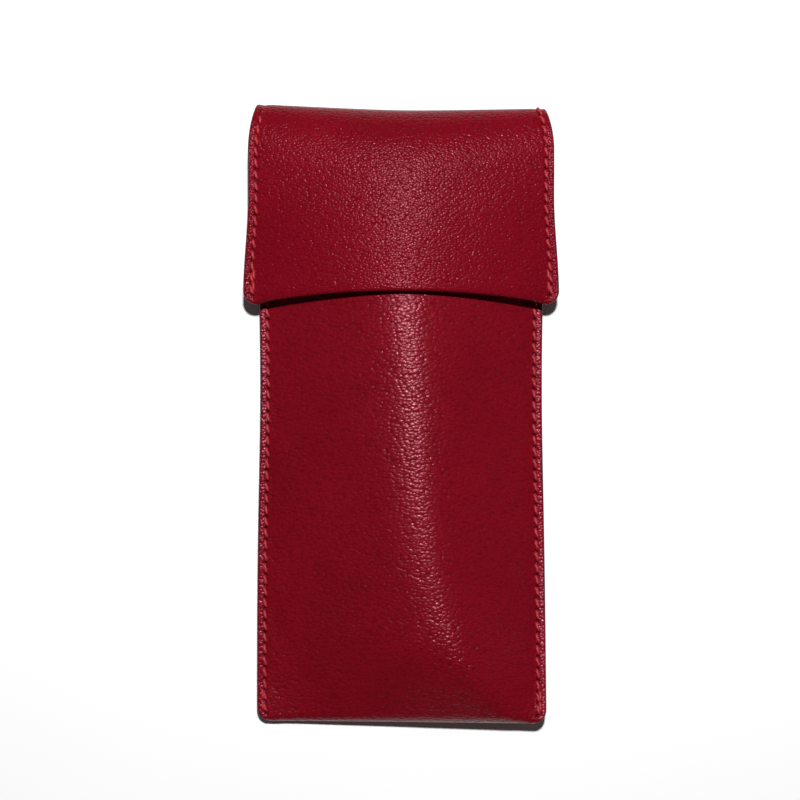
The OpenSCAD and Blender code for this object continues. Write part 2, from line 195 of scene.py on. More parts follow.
def crest_z(y):
    """Height of the flap's crest: it follows the body's ridge up to where the fold begins."""
    t = np.minimum(FOLD_END_Y[1], y)
    return front_z(0 * t, t) - slack(0 * t, t) + FIT_GAP + bind_rise(t) + FLAP_THICK


def flap_end(v):
    return FLAP_END_Y + FLAP_ARCH * (1 - v * v)


def flap_edge(v, y):
    flare = FLAP_FLARE * smooth((FLARE_START_Y - y) / FLARE_LEN)
    return FLAP_HALF + flare - corner_in(y - flap_end(v), FLAP_CORNER_R)


def flap_z(v, y):
    k = flap_k(v)
    t = (mix(FOLD_END_Y[0], FOLD_END_Y[1], k) - y) / (FOLD_END_Y[0] - FLAP_END_Y)
    return mix(mix(FOLD_SIDE_Z, FLAP_SIDE_Z, smooth(t)), crest_z(y), k)


def fold_point(v, a):
    """The fold's outer face; a runs from -90 at the end of the tail through 0 to 90 at the front."""
    k = flap_k(v)
    c, s = np.cos(np.radians(a)), np.sin(np.radians(a))
    out_y = mix(FOLD_OUT_Y[0], FOLD_OUT_Y[1], k) - FOLD_SKEW * (1 + v)
    out_z = mix(FOLD_OUT_Z[0], FOLD_OUT_Z[1], k)
    near_y = np.where(a < 0, mix(*FOLD_START_Y, k), mix(*FOLD_END_Y, k))
    rise = np.where(a < 0, out_z - TAIL_Z, mix(FOLD_SIDE_Z, crest_z(FOLD_END_Y[1] + 0 * v), k) - out_z)
    back_half = mix(body_edge(TAIL_Y), FOLD_HALF, 1 + a / 90)
    half = np.where(a < 0, back_half, mix(FOLD_HALF, FLAP_HALF, smooth(a / 90)))
    return np.stack([v * half, near_y + (out_y - near_y) * c, out_z + rise * s], -1)


def flap_point(v, y):
    return np.stack([v * flap_edge(v, y), y + 0 * v, flap_z(v, y)], -1)


# --- grids ---
def normals(points):
    """Unit normals of a grid of points, facing the viewer when columns run along +X and rows along -Y."""
    n = np.cross(np.gradient(points, axis=1), np.gradient(points, axis=0))
    return n / np.linalg.norm(n, axis=-1, keepdims=True)


def run_length(line):
    """Distance along a line of points, from its first one."""
    return np.concatenate([[0], np.cumsum(np.linalg.norm(np.diff(line, axis=0), axis=1))])


def side_columns(half, step=0.9):
    """Values of v across a panel: close together at the edge and the stitching, and a step apart inside."""
    edge = [0, 0.04, 0.12, 0.25, 0.45, 0.8, 1.15]
    seam = list(np.arange(STITCH_INSET - 0.75, STITCH_INSET + 0.8, 0.15))
    ease = [STITCH_INSET + d for d in (1.0, 1.35, 1.8, 2.4)]
    inner_from = STITCH_INSET + 3.1
    inner = list(np.linspace(inner_from, half, int((half - inner_from) / step) + 1))
    left = [d / half - 1 for d in edge + seam + ease + inner]
    return np.array(left + [-v for v in reversed(left[:-1])])


def side_distance(v, half):
    """Distance of each column of a grid to the nearer side."""
    return (1 - np.abs(v))[:, None] * half


def end_distance(points):
    """Distance of each row of a grid to the nearer end, along the middle column."""
    s = run_length(points[len(points) // 2])
    return np.minimum(s, s[-1] - s)[None, :]


def edge_distance(v, points, half):
    """Distance of each point of a grid to the nearest side or end."""
    return np.minimum(side_distance(v, half), end_distance(points))


def make(name, verts, faces, slots, marks=None, **attributes):
    """A smooth mesh object from millimetre vertices. An edge between two vertices of one mark stays sharp."""
    mesh = bpy.data.meshes.new(name)
    mesh.vertices.add(len(verts))
    mesh.vertices.foreach_set("co", (np.asarray(verts, np.float32) * MM).ravel())
    sides = faces.shape[1]
    mesh.loops.add(faces.size)
    mesh.loops.foreach_set("vertex_index", faces.astype(np.int32).ravel())
    mesh.polygons.add(len(faces))
    mesh.polygons.foreach_set("loop_start", np.arange(0, faces.size, sides, dtype=np.int32))
    mesh.polygons.foreach_set("material_index", np.asarray(slots, np.int32))
    mesh.update(calc_edges=True)
    mesh.validate()
    mesh.shade_smooth()
    if marks is not None:
        ends = np.empty(len(mesh.edges) * 2, np.int32)
        mesh.edges.foreach_get("vertices", ends)
        pair = np.asarray(marks)[ends.reshape(-1, 2)]
        sharp = mesh.attributes.new("sharp_edge", "BOOLEAN", "EDGE")
        sharp.data.foreach_set("value", (pair[:, 0] == pair[:, 1]) & (pair[:, 0] > 0))
    for key, values in attributes.items():
        mesh.attributes.new(key, "FLOAT", "POINT").data.foreach_set("value", np.asarray(values, np.float32))
    piece = bpy.data.objects.new(name, mesh)
    bpy.context.scene.collection.objects.link(piece)
    return piece


def sheet_mesh(name, points, depth, thickness, border, materials, edge_width=0.3, cuts=(), pierced=0, worn=0):
    """A closed sheet whose outer face lies depth under a grid of points.

    border is the distance of each point to the nearest free edge, which it rounds. The ends in cuts are
    square, because another piece goes on there. materials are those of the outside, the edges and the inside.
    """
    cols, rows = points.shape[:2]
    n = normals(points)
    depth = np.broadcast_to(depth, (cols, rows))[..., None]
    thickness = np.broadcast_to(thickness, (cols, rows))[..., None]
    drawn = corner_in(border[..., None], ROUND_SHARE * thickness)
    outer = points - n * (depth + drawn)
    inner = points - n * (depth + thickness - drawn)
    base = cols * rows
    index = np.arange(base).reshape(cols, rows)
    a, b, c, d = index[:-1, :-1], index[:-1, 1:], index[1:, 1:], index[1:, :-1]
    skin = np.stack([a, b, c, d], -1).reshape(-1, 4)
    near = border < edge_width
    edge_face = (near[:-1, :-1] & near[1:, 1:]).ravel()
    back = skin[:, ::-1] + base
    rims = []
    for line, flip in ((index[:, 0], True), (index[:, -1], False), (index[0], False), (index[-1], True)):
        quad = np.stack([line[:-1], line[1:], line[1:] + base, line[:-1] + base], -1)
        rims.append(quad[:, ::-1] if flip else quad)
    rims = np.concatenate(rims)[:, ::-1]
    faces = np.concatenate([skin, back, rims])
    edge_slot = 1 if len(materials) > 1 else 0
    inner_slot = 2 if len(materials) > 2 else 0
    slots = np.concatenate([np.where(edge_face, edge_slot, 0), np.where(edge_face, edge_slot, inner_slot),
                            np.full(len(rims), edge_slot)])
    marks = np.zeros(2 * base, int)
    for end in cuts:
        marks[index[:, end]] = 1
        marks[index[:, end] + base] = 2
    verts = np.concatenate([outer.reshape(-1, 3), inner.reshape(-1, 3)])
    tones = {key: np.concatenate([np.ravel(np.zeros((cols, rows)) + values), np.zeros(base)])
             for key, values in (("pierced", pierced), ("worn", worn))}
    piece = make(name, verts, faces, slots, marks, **tones)
    for material in materials:
        piece.data.materials.append(material)
    return piece


# --- stitching ---
STITCH_HALF = 1.2         # half of a stitch's length along its row
SLANT, ROW_SLANT = 0.42, 0.3   # how far each end of a stitch leans across its row, at the sides and elsewhere
DENT_T = 0.17             # depth of the groove that the thread pulls into the leather
GROOVE_HALF = 0.62
DIP_HALF, DIP_SHARE = 1.5, 0.35   # the shallow dip round the groove
HOLE_T, HOLE_HALF = 0.55, (0.34, 0.36)   # a needle hole's depth, and its half size across and along the row
ROW_MARGIN = 0.4          # how far the groove goes on past the last hole
YARN_R = 0.41             # the thread as it is seen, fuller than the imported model's
TACK_SHIFT, TACK_HALF = 0.55, 1.3   # an end stitch's place beside its row, and half of its length
ALONG_X, ALONG_Y = np.array([1.0, 0, 0]), np.array([0, 1.0, 0])


def dent(across_row, along, first, last, pitch=STITCH_PITCH):
    """(depth pressed in, how far pierced) near a row of stitches centred at first, first + pitch and so on.

    across_row and along are each point's distance from the row and along it.
    """
    reach = pitch / 2 + ROW_MARGIN
    inside = (along > first - reach) & (along < last + reach)
    to_hole = (along - first) / pitch - 0.5
    to_hole = (to_hole - np.round(to_hole)) * pitch
    hole = np.exp(-(across_row / HOLE_HALF[0]) ** 2 - (to_hole / HOLE_HALF[1]) ** 2)
    groove = bump(across_row, GROOVE_HALF) + DIP_SHARE * bump(across_row, DIP_HALF)
    return (DENT_T * groove + HOLE_T * hole) * inside, hole * inside


def even_row(half):
    """Centres of the stitches of a straight row, from -half to half."""
    return np.arange(-half, half + 0.1, STITCH_PITCH)


def threads(name, rows, material):
    """One mesh of twisted stitches whose ends dive into the leather.

    Each row is (points, normals, sideways unit, centres along it, slant, half of a stitch's length).
    """
    rings, sides = 13, 10
    t = np.linspace(-1, 1, rings)
    verts, faces = [], []
    ring = np.arange(sides)
    for points, up, side, centres, slant, half in rows:
        s = run_length(points)
        for k, centre in enumerate(centres):
            at = centre + t * half
            line = np.stack([np.interp(at, s, points[:, i]) for i in range(3)], -1)
            n = np.stack([np.interp(at, s, up[:, i]) for i in range(3)], -1)
            leaning = side * slant * (0.9 + 0.2 * np.sin(2.1 * k))      # each a little differently
            arch = 0.2 - 0.95 * np.abs(t) ** 4.5
            line = line + leaning * t[:, None] + n * arch[:, None]
            ahead = np.gradient(line, axis=0)
            ahead /= np.linalg.norm(ahead, axis=1, keepdims=True)
            right = np.cross(ahead, n)
            right /= np.linalg.norm(right, axis=1, keepdims=True)
            over = np.cross(right, ahead)
            angle = 2 * np.pi * ring / sides
            twist = 5.5 * t[:, None] + 0.7 * k
            plies = 1 + 0.15 * np.cos(2 * angle[None] - twist)
            r = YARN_R * (1 - 0.25 * t ** 8)[:, None] * plies
            body = (line[:, None] + r[..., None] * (np.cos(angle)[None, :, None] * right[:, None]
                                                    + np.sin(angle)[None, :, None] * over[:, None]))
            start = len(verts) * rings * sides
            verts.append(body.reshape(-1, 3))
            for j in range(rings - 1):
                a = start + j * sides
                faces.append(np.stack([a + ring, a + (ring + 1) % sides, a + sides + (ring + 1) % sides,
                                       a + sides + ring], -1))
            for j, order in ((0, -1), (rings - 1, 1)):      # four quads close each end's ring of ten
                cap = start + j * sides + ring[::order]
                faces.append(np.stack([cap[[0, 1, 2, 3]], cap[[0, 3, 4, 9]],
                                       cap[[9, 4, 5, 8]], cap[[8, 5, 6, 7]]]))
    piece = make(name, np.concatenate(verts), np.concatenate(faces), np.zeros(sum(len(f) for f in faces)))
    piece.data.materials.append(material)
    return piece


# --- materials ---
def new_material(name):
    material = bpy.data.materials.new(name)
    material.use_nodes = True
    tree = material.node_tree
    return material, tree, tree.nodes["Principled BSDF"]


def node(tree, kind, inputs=None, **settings):
    """Adds a node; inputs maps socket names or numbers to values or to other nodes' sockets."""
    made = tree.nodes.new(kind)
    for key, value in settings.items():
        setattr(made, key, value)
    for key, value in (inputs or {}).items():
        if isinstance(value, bpy.types.NodeSocket):
            tree.links.new(value, made.inputs[key])
        else:
            made.inputs[key].default_value = value
    return made


def maths(tree, operation, a, b=0.0):
    return node(tree, "ShaderNodeMath", {0: a, 1: b}, operation=operation).outputs[0]


def mix_colour(tree, factor, a, b):
    made = node(tree, "ShaderNodeMix", {0: factor, 6: a, 7: b}, data_type="RGBA")
    return made.outputs[2]


def spread(tree, value, low, high, to_low=0.0, to_high=1.0):
    made = node(tree, "ShaderNodeMapRange",
                {"Value": value, "From Min": low, "From Max": high, "To Min": to_low, "To Max": to_high})
    return made.outputs[0]


def place(tree, stretch=(1, 1, 1)):
    coords = tree.nodes.new("ShaderNodeTexCoord").outputs["Object"]
    return node(tree, "ShaderNodeMapping", {"Vector": coords, "Scale": stretch}).outputs[0]


def noise(tree, where, scale, detail=2.0, rough=0.5):
    made = node(tree, "ShaderNodeTexNoise",
                {"Vector": where, "Scale": scale, "Detail": detail, "Roughness": rough})
    return made.outputs["Fac"]


def cells(tree, where, scale):
    """Distance to the middle of the nearest of many small cells."""
    made = node(tree, "ShaderNodeTexVoronoi", {"Vector": where, "Scale": scale}, feature="F1")
    return made.outputs["Distance"]


def vector_maths(tree, operation, a, b):
    return node(tree, "ShaderNodeVectorMath", {0: a, 1: b}, operation=operation).outputs[0]


def raise_surface(tree, shader, height, strength, distance):
    """Bumps the surface by a height map; distance is in metres."""
    relief = node(tree, "ShaderNodeBump", {"Strength": strength, "Distance": distance, "Height": height})
    tree.links.new(relief.outputs[0], shader.inputs["Normal"])


SWIRL = (0.0006, 0.0006, 0.0006)                 # how far the grain is pushed out of its even pattern
GRAIN_H = 0.00015                                # height of the grain
HOLE_SHADE_TONE = (0.010, 0.0006, 0.0014, 1)           # painted shade in a needle hole


def leather_material(name, main, dark, grain=1.0, rough=0.30, scale=1300.0, stretch=0.66, shine=0.27):
    """Pebbled leather: rounded grain between fine creases, with painted shade in the creases and round each
    needle hole.
    """
    material, tree, shader = new_material(name)
    here = place(tree, (stretch, 1.0, 1.0))
    swirl = node(tree, "ShaderNodeTexNoise", {"Vector": here, "Scale": 640.0, "Detail": 2.0}).outputs["Color"]
    warped = vector_maths(tree, "ADD", here, vector_maths(tree, "MULTIPLY", swirl, SWIRL))
    from_middle = cells(tree, warped, scale)
    pebble = maths(tree, "SUBTRACT", 1.0, maths(tree, "MULTIPLY", from_middle, from_middle))
    small = maths(tree, "SUBTRACT", 1.0, cells(tree, warped, 2.1 * scale))
    fine = noise(tree, here, 4200.0)
    height = maths(tree, "ADD", pebble, maths(tree, "MULTIPLY", small, 0.08))
    height = maths(tree, "ADD", height, maths(tree, "MULTIPLY", fine, 0.10))
    worn = node(tree, "ShaderNodeAttribute", attribute_name="worn").outputs["Fac"]
    height = maths(tree, "MULTIPLY", height, spread(tree, worn, 0.0, 1.0, 1.0, 1.45))
    patches = noise(tree, place(tree), 38.0, 3.0, 0.6)
    light_tone, deep_tone = [1.08 * c for c in main], [0.90 * c for c in main]
    tone = mix_colour(tree, spread(tree, patches, 0.3, 0.7), (*deep_tone, 1), (*light_tone, 1))
    # painted shade: the creases between the pebbles are darkened towards the second, darker colour
    tone = mix_colour(tree, spread(tree, from_middle, 0.45, 0.85, 0.0, 0.32), tone, (*dark, 1))
    hole = node(tree, "ShaderNodeAttribute", attribute_name="pierced").outputs["Fac"]
    # painted shade in and round each needle hole, where the pierced mask is high
    tone = mix_colour(tree, spread(tree, hole, 0.1, 0.6), tone, HOLE_SHADE_TONE)
    tree.links.new(tone, shader.inputs["Base Color"])
    gloss = spread(tree, noise(tree, place(tree), 1300.0), 0.3, 0.7, rough - 0.08, rough + 0.08)
    tree.links.new(gloss, shader.inputs["Roughness"])
    shader.inputs["Specular IOR Level"].default_value = shine
    shader.inputs["Specular Tint"].default_value = (1.0, 0.42, 0.52, 1)
    raise_surface(tree, shader, height, 1.0, GRAIN_H * grain)
    return material


def paint_material():
    """Edge paint: dark burgundy, laid on thick and a little uneven."""
    material, tree, shader = new_material("edge_paint")
    patches = noise(tree, place(tree), 420.0, 3.0)
    tone = mix_colour(tree, patches, (0.028, 0.004, 0.010, 1), (0.070, 0.010, 0.022, 1))
    tree.links.new(tone, shader.inputs["Base Color"])
    tree.links.new(spread(tree, patches, 0.2, 0.8, 0.32, 0.5), shader.inputs["Roughness"])
    raise_surface(tree, shader, patches, 0.4, 0.0002)
    return material


def thread_material():
    """Waxed thread: fine fibres in two reds."""
    material, tree, shader = new_material("red_thread")
    fibres = noise(tree, place(tree), 6500.0, 3.0, 0.7)
    tone = mix_colour(tree, fibres, (0.22, 0.004, 0.012, 1), (0.48, 0.017, 0.032, 1))
    tree.links.new(tone, shader.inputs["Base Color"])
    tree.links.new(spread(tree, fibres, 0.2, 0.8, 0.42, 0.7), shader.inputs["Roughness"])
    raise_surface(tree, shader, fibres, 0.5, 0.00012)
    return material


def cloth_material(name, low, high, scale, rough=0.9, depth=0.0002):
    """Napped or felted cloth: short fibres lying in patches."""
    material, tree, shader = new_material(name)
    fibres = noise(tree, place(tree, (1.0, 0.35, 1.0)), scale, 4.0, 0.75)
    brushed = noise(tree, place(tree), 70.0, 3.0)
    nap = maths(tree, "ADD", maths(tree, "MULTIPLY", fibres, 0.6), maths(tree, "MULTIPLY", brushed, 0.4))
    tone = mix_colour(tree, nap, (*low, 1), (*high, 1))
    tree.links.new(tone, shader.inputs["Base Color"])
    shader.inputs["Roughness"].default_value = rough
    shader.inputs["Sheen Weight"].default_value = 0.35
    raise_surface(tree, shader, fibres, 0.6, depth)
    return material


def nickel_material():
    """Nickel plate with long fine scratches."""
    material, tree, shader = new_material("nickel_plate")
    scratch = noise(tree, place(tree, (1.0, 14.0, 1.0)), 900.0, 3.0)
    shader.inputs["Base Color"].default_value = (0.55, 0.54, 0.52, 1)
    shader.inputs["Metallic"].default_value = 1.0
    tree.links.new(spread(tree, scratch, 0.3, 0.7, 0.18, 0.34), shader.inputs["Roughness"])
    raise_surface(tree, shader, scratch, 0.15, 0.00005)
    return material


# the first colour is the leather's own red; the second is painted shade for the creases of its grain
RED, CREASE_SHADE_RED = (0.158, 0.0022, 0.0080), (0.064, 0.0007, 0.0028)
LEATHER = leather_material("red_leather", RED, CREASE_SHADE_RED)
FLAP_LEATHER = leather_material("flap_red_leather", RED, CREASE_SHADE_RED, grain=0.9, rough=0.27, scale=1600.0,
                                stretch=0.8, shine=0.13)
# the binding's second colour is painted shade for the creases of its grain
BINDING_LEATHER = leather_material("binding_leather", (0.135, 0.0026, 0.0078), (0.055, 0.0008, 0.003),
                                   grain=0.55)
PAINT = paint_material()
THREAD = thread_material()
LINING = cloth_material("lining_nap", (0.055, 0.047, 0.044), (0.125, 0.108, 0.100), 1400.0)
WADDING = cloth_material("wadding_felt", (0.50, 0.46, 0.39), (0.70, 0.65, 0.56), 700.0, depth=0.0005)
BOARD = cloth_material("fibre_board", (0.30, 0.23, 0.15), (0.48, 0.38, 0.26), 1100.0, rough=0.8,
                       depth=0.00008)
NICKEL = nickel_material()


# --- the body's leather: down the front, round the bottom and up the back ---
def body_grid(v, front, back, turn=14):
    """Outer points of the folded strip, and the row numbers where the turn begins and ends.

    front, turn and back are the numbers of rows on the front, round the bottom and on the back.
    """
    r = (front_z(v, -HALF_LEN + 0 * v) - back_z(v, -HALF_LEN + 0 * v)) / 2
    low = -HALF_LEN + r
    rows = []
    for t in np.linspace(0, 1, front):
        y = mix(mouth_edge(v), low, t)
        rows.append((y, front_z(v, y)))
    for a in np.radians(np.linspace(0, 180, turn + 2)[1:-1]):
        y = low - r * np.sin(a)
        rows.append((y, mix(back_z(v, y), front_z(v, y), (1 + np.cos(a)) / 2)))
    for t in np.linspace(0, 1, back):
        y = mix(low, BACK_END_Y, t)
        rows.append((y, back_z(v, y)))
    y = np.stack([row[0] for row in rows], -1)
    z = np.stack([row[1] for row in rows], -1)
    return np.stack([v[:, None] * body_edge(y), y, z], -1), (front, front + turn)


SEAM_FIRST_Y, SEAM_LAST_Y = -81.0, MOUTH_Y - 7
SEAM_LINE_Y = (-84.0, MOUTH_Y - 4)
WORN_AT, WORN_HALF = (19.0, -66.0), (15.0, 13.0)    # where use has raised the grain, at the lower right
seam_centres = np.arange(SEAM_FIRST_Y, SEAM_LAST_Y, STITCH_PITCH)


def body_leather():
    v = side_columns(PANEL_HALF)
    points, (turn_row, back_row) = body_grid(v, front=340, back=200)
    y = points[..., 1]
    across_row = body_edge(y) * (1 - np.abs(v))[:, None] - STITCH_INSET
    pressed, pierced = dent(across_row, y, seam_centres[0], seam_centres[-1])
    on_face = np.ones(points.shape[1])
    on_face[turn_row:back_row] = 0
    pressed, pierced = pressed * on_face, pierced * on_face
    points = points - normals(points) * pressed[..., None]
    worn = bump(points[..., 0] - WORN_AT[0], WORN_HALF[0]) * bump(y - WORN_AT[1], WORN_HALF[1]) * on_face
    piece = sheet_mesh("pouch_leather", points, 0.0, LEATHER_T, edge_distance(v, points, PANEL_HALF),
                       [LEATHER, PAINT, BINDING_LEATHER], pierced=pierced, worn=worn)
    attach(piece, "pouch")
    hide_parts("body_leather")
    return piece


def seam_rows(side, face):
    """The line of the side seam's stitches on the front (face 1) or the back (-1), and its normals."""
    y = np.linspace(*SEAM_LINE_Y, 600)
    x = side * (body_edge(y) - STITCH_INSET)
    v = x / body_edge(y)
    on_tail = y > STEP_Y + STEP_LEN
    low = np.where(on_tail, TAIL_Z, back_z(v, y))
    z = front_z(v, y) - DENT_T if face > 0 else low + DENT_T * ~on_tail
    line = np.stack([x, y, z], -1)
    up = np.broadcast_to([0, 0, float(face)], line.shape)
    return line, up


def seam_threads():
    """Both side seams. On the back they stop where the panel steps up, and go on through the flap's tail."""
    for side, word in ((-1, "left"), (1, "right")):
        rows = []
        for face in (1, -1):
            line, up = seam_rows(side, face)
            centres = [c for c in seam_centres if face > 0 or c < STEP_Y - 2 or c > TAIL_Y + 1.6]
            at = np.interp(centres, line[:, 1], run_length(line))
            rows.append((line, up, -face * ALONG_X, at, SLANT, STITCH_HALF))
        piece = threads(f"{word}_seam_thread", rows, THREAD)
        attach(piece, "pouch")
        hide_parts(f"{word}_seam_stitches")


def body_backtacks():
    """The doubled end stitches, beside and on top of the seams' own."""
    rows = []
    for side in (-1, 1):
        line, up = seam_rows(side, 1)
        line = line + [side * TACK_SHIFT, 0, 0.12]
        ends = [SEAM_FIRST_Y + 0.7, SEAM_FIRST_Y + 3.7, SEAM_LAST_Y - 4]
        at = np.interp(ends, line[:, 1], run_length(line))
        rows.append((line, up, -ALONG_X, at, SLANT * 0.4, TACK_HALF))
    piece = threads("pouch_backtacks", rows, THREAD)
    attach(piece, "pouch")
    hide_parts("body_backtacks")


# --- inside the body ---
def pad_depth(v, y, mask):
    """Room that the wadding takes between the leather and the lining."""
    room = (front_z(v, y) - back_z(v, y) - SEAM_T) / 2
    return np.clip(room, PAD_MIN, PADDING_T) * smooth((PAD_EDGE_V - np.abs(v)) / PAD_EASE_V) * mask


def below_facing(y):
    """1 below the flap's facing, where the back is padded, and 0 above the facing's end."""
    return smooth((FACING_Y + 2 - y) / 4)


def body_lining():
    v = side_columns(PANEL_HALF, step=1.3)
    points, (turn_row, back_row) = body_grid(v, front=150, back=110)
    y = points[..., 1]
    below_binding = smooth((mouth_edge(v)[:, None] - y - 5.5) / 3)
    mask = smooth((y - PAD_START_Y) / 5)
    mask[:, :turn_row] *= below_binding[:, :turn_row]
    mask[:, turn_row:back_row] = 0
    mask[:, back_row:] *= below_facing(y[:, back_row:])
    depth = LEATHER_T + GLUE + pad_depth(v[:, None], y, mask)
    rumple = 0.05 * np.sin(points[..., 0] / 3.1 + 1.3 * np.sin(y / 8)) * np.sin(y / 4.3) * mask
    border = edge_distance(v, points, PANEL_HALF)
    piece = sheet_mesh("pocket_lining", points, depth + rumple, LINING_T, border, [LINING, PAINT],
                       edge_width=0.25)
    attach(piece, "pouch")
    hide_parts("body_lining")
    return piece


def wadding():
    """The two pads between the leather and the lining, rounded and a little lumpy at their edges."""
    half_v, low_y = 0.8, -76
    v = np.linspace(-half_v, half_v, 70)
    for word, surface, ends in (("front", front_z, (MOUTH_Y - 12, low_y)),
                                ("back", back_z, (low_y, FACING_Y - 2))):
        y = np.linspace(*ends, 130)[None, :] + 0 * v[:, None]
        points = np.stack([v[:, None] * body_edge(y), y, surface(v[:, None], y)], -1)
        lumps = 0.03 * np.sin(points[..., 0] / 1.9) * np.sin(y / 2.3)
        thick = pad_depth(v[:, None], y, 1.0) - 0.08 + lumps - 0.03
        border = np.minimum((half_v - np.abs(v))[:, None] * PANEL_HALF, end_distance(points))
        piece = sheet_mesh(f"{word}_wadding", points, LEATHER_T + 0.04, thick, border, [WADDING])
        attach(piece, "pouch")
        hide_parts(f"{word}_padding")


BINDING_ROW_DOWN = 3.2    # from the mouth's edge down to the row of stitches


def mouth_binding():
    """Thin leather folded over the front's top edge, with its own row of stitches."""
    v = np.linspace(-0.79, 0.79, 120)
    depth, reach = LEATHER_T + GLUE + LINING_T, BIND_GAP + BINDING_T
    down = np.linspace(BINDING_LEN, 0, 24)
    y = mouth_edge(v)[:, None] - down[None, :]
    face = np.stack([v[:, None] * body_edge(y), y, front_z(v[:, None], y)], -1)
    up = -normals(face)
    top, top_up = face[:, -1], up[:, -1]
    half = depth / 2 + reach
    middle = top - top_up * depth / 2
    turn = [middle + top_up * half * np.cos(a) + ALONG_Y * (reach + 0.2) * np.sin(a)
            for a in np.radians(np.linspace(180, 0, 13)[1:-1])]
    inner, outer = face - up * (depth + reach), (face + up * reach)[:, ::-1]
    points = np.concatenate([inner, np.stack(turn, 1), outer], axis=1)
    centres = even_row(28.8)
    row_y = mouth_edge(points[..., 0] / body_edge(MOUTH_Y)) - BINDING_ROW_DOWN
    on_outer = np.arange(points.shape[1]) >= len(down) + len(turn)
    pressed, pierced = dent(points[..., 1] - row_y, points[..., 0], centres[0], centres[-1])
    points = points - normals(points) * (pressed * on_outer * 0.6)[..., None]
    piece = sheet_mesh("mouth_binding_leather", points, 0.0, BINDING_T, edge_distance(v, points, PANEL_HALF),
                       [BINDING_LEATHER, PAINT], pierced=pierced * on_outer)
    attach(piece, "pouch")
    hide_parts("mouth_binding")
    x = np.linspace(-31, 31, 300)
    row_v = x / body_edge(MOUTH_Y)
    y = mouth_edge(row_v) - BINDING_ROW_DOWN
    line = np.stack([x, y, front_z(row_v, y) + reach - 0.05], -1)
    line_up = np.broadcast_to([0, 0, 1.0], line.shape)
    at = np.interp(centres, x, run_length(line))
    piece = threads("mouth_thread", [(line, line_up, ALONG_Y, at, ROW_SLANT, STITCH_HALF)], THREAD)
    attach(piece, "pouch")
    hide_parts("mouth_stitches")


# --- the flap ---
FLAP_MATERIALS = [FLAP_LEATHER, PAINT, BINDING_LEATHER]
FOLD_ROWS, FRONT_ROWS = 72, 96
ROOM_FIRST_ROW = 60       # the first row of the flap's face that can have room under it
TAIL_ANGLE, FACING_ANGLE = -88, -74      # where the tail and its facing begin to turn up round the fold
ROOM_EDGE_V, ROOM_EASE_V = 0.955, 0.05   # the room between the flap's layers, for the board and the magnet
ROOM_TOP_Y, ROOM_TOP_EASE, ROOM_END_GAP, ROOM_END_EASE = 68.5, 4.5, 1.2, 2.0


def bend_back(piece):
    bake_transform(piece)


def bend_front(piece):
    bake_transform(piece)


def flap_face(v):
    """The flap's outer face from the split, over the fold and down the front."""
    rows = [fold_point(v, a + 0 * v) for a in np.linspace(SPLIT_ANGLE, 90, FOLD_ROWS)]
    start, end = rows[-1][:, 1], flap_end(v) + FLAP_THIN / 2
    rows += [flap_point(v, mix(start, end, t)) for t in np.linspace(0, 1, FRONT_ROWS + 1)[1:]]
    return np.stack(rows, 1)


def flap_side_line():
    """The stitching line on the flap's face at the right side: points from the split to the lower edge."""
    v = np.array([1 - STITCH_INSET / FLAP_HALF])
    around = np.concatenate([v - 0.01, v, v + 0.01])
    face = flap_face(around)
    return face[1], normals(face)[1]


# The stitches of the flap's sides are spaced evenly from the lowest one back to the split.
FLAP_FIRST_Y, FRONT_BELOW_Y = FLAP_END_Y + 4.4, 70
side_line, side_up = flap_side_line()
side_run = run_length(side_line)
on_front = side_line[:, 1] < FRONT_BELOW_Y
lowest = float(np.interp(-FLAP_FIRST_Y, -side_line[on_front, 1], side_run[on_front]))
flap_count = int(round((lowest - STITCH_PITCH / 2) / STITCH_PITCH))
flap_pitch = (lowest - STITCH_PITCH / 2) / flap_count
flap_centres = lowest - flap_pitch * np.arange(flap_count + 1)


def mirror(line, side):
    """A line of the right side, or its mirror image where side is -1."""
    return line * np.array([side, 1, 1])


def flap_front():
    """The doubled leather from the split to the lower edge, as one strip that turns round that edge."""
    v = side_columns(FLAP_HALF + 0.4)
    face = flap_face(v)
    up = normals(face)
    y = face[..., 1]
    room = smooth((ROOM_EDGE_V - np.abs(v)) / ROOM_EASE_V)[:, None] * smooth((ROOM_TOP_Y - y) / ROOM_TOP_EASE)
    room = room * smooth((y - flap_end(v)[:, None] - ROOM_END_GAP) / ROOM_END_EASE)
    room[:, :ROOM_FIRST_ROW] = 0
    under = face - up * (FLAP_THIN + PADDING_T * room)[..., None]
    across_row = flap_edge(v[:, None], y) * (1 - np.abs(v))[:, None] - STITCH_INSET
    first = flap_centres[-1] - flap_pitch * 3      # past the split, so that the groove runs on over it
    pressed, pierced = dent(across_row, side_run + 0 * y, first, flap_centres[0], flap_pitch)
    face = face - up * pressed[..., None]
    under = under + up * (0.6 * pressed)[..., None]
    r = FLAP_THIN / 2
    last, last_up = face[:, -1], up[:, -1]
    centre = last - last_up * r
    turn = []
    for a in np.radians(np.linspace(0, 180, 11)[1:-1]):
        turn_y = centre[:, 1] - r * np.sin(a)
        turn.append(np.stack([v * flap_edge(v, turn_y), turn_y, centre[:, 2] + r * np.cos(a)], -1))
    points = np.concatenate([face, np.stack(turn, 1), under[:, ::-1]], axis=1)
    holes = np.concatenate([pierced, np.zeros((len(v), len(turn))), pierced[:, ::-1]], axis=1)
    border = np.broadcast_to(side_distance(v, FLAP_HALF), points.shape[:2])
    piece = sheet_mesh("flap_front_leather", points, 0.0, FLAP_LEATHER_T, border, FLAP_MATERIALS,
                       cuts=(0, -1), pierced=holes)
    bend_front(piece)
    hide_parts("flap_leather", "bridge_leather", "bridge_facing")


def tail_face(v):
    """The flap's back piece: flat under the back of the pouch, then up round the fold to the split."""
    rows = []
    for y in np.linspace(TAIL_Y, 75.5, 54):
        rows.append(np.stack([v * body_edge(y), y + 0 * v, TAIL_Z + 0 * v], -1))
    rows += [fold_point(v, a + 0 * v) for a in np.linspace(TAIL_ANGLE, SPLIT_ANGLE, 34)]
    return np.stack(rows, 1)


